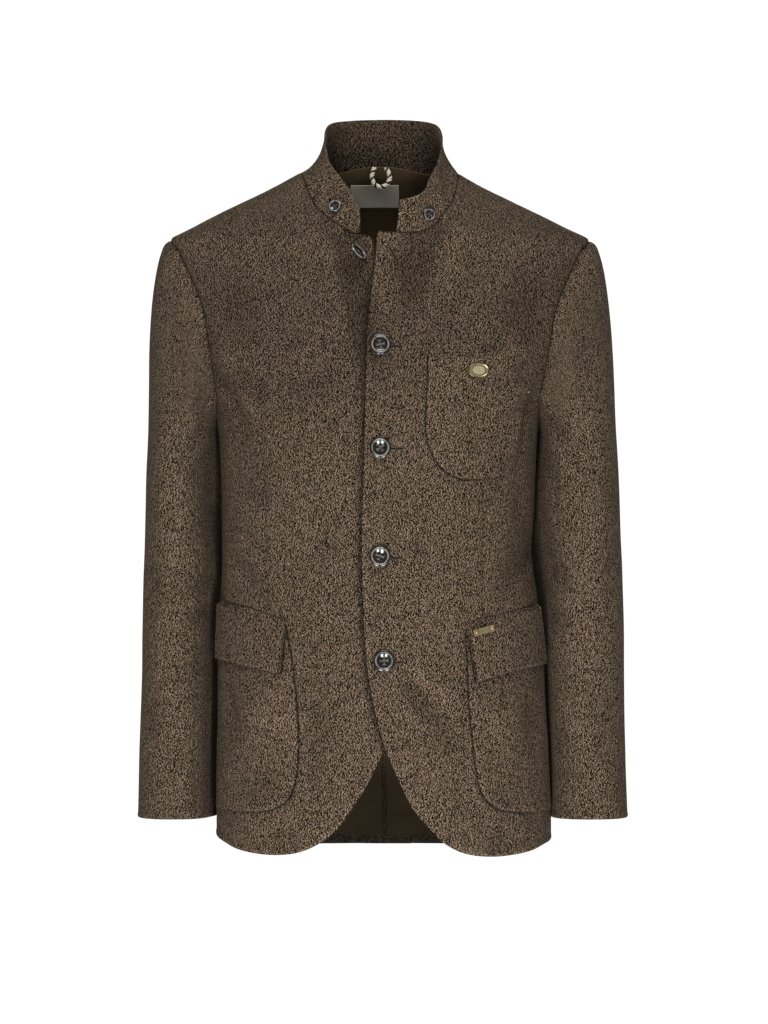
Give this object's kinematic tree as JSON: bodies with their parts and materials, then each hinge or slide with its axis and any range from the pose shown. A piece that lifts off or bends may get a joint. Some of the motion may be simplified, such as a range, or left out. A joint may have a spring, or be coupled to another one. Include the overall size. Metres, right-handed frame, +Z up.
{
  "type": "loden jacket",
  "caption": "Tyrolean loden jacket filled out as worn: band collar, buttoned lapped front with cutaway hem, patch pockets with flaps, two-piece sleeves, open neck, cuffs and hem.",
  "frame": {"origin": "middle of the neck opening at the height of the side neck points, where the wearer's shoulders carry the jacket", "axes": "+Z up along the body, -Y out of the front, +X towards the wearer's left"},
  "size_m": [0.5321, 0.2725, 0.8016],
  "materials": {
    "loden": "fulled heather wool, matt, short nap",
    "satin": "olive-brown lining satin, soft sheen",
    "woven_label": "plain woven grey label, blank",
    "cord": "twisted cream and black cord",
    "horn": "polished dark horn",
    "enamel": "plain cream enamel with a gilt rim",
    "brass": "dull brass"
  },
  "bodies": {
    "root": {"front_left": "loden", "front_right": "loden", "back_left": "loden", "back_right": "loden", "sleeve_top_left": "loden", "sleeve_top_right": "loden", "sleeve_under_left": "loden", "sleeve_under_right": "loden", "collar": "loden", "pocket_breast": "loden", "pocket_left": "loden", "pocket_right": "loden", "flap_left": "loden", "flap_right": "loden", "lining_back": "satin", "neck_label": "woven_label", "hanger_loop": "cord", "button_1": "horn", "button_2": "horn", "button_3": "horn", "button_4": "horn", "button_5": "horn", "button_collar_left": "horn", "button_collar_right": "horn", "badge": "enamel", "tag_plate": "brass", "tag_pin_1": "brass", "tag_pin_2": "brass"}
  },
  "joints": []
}
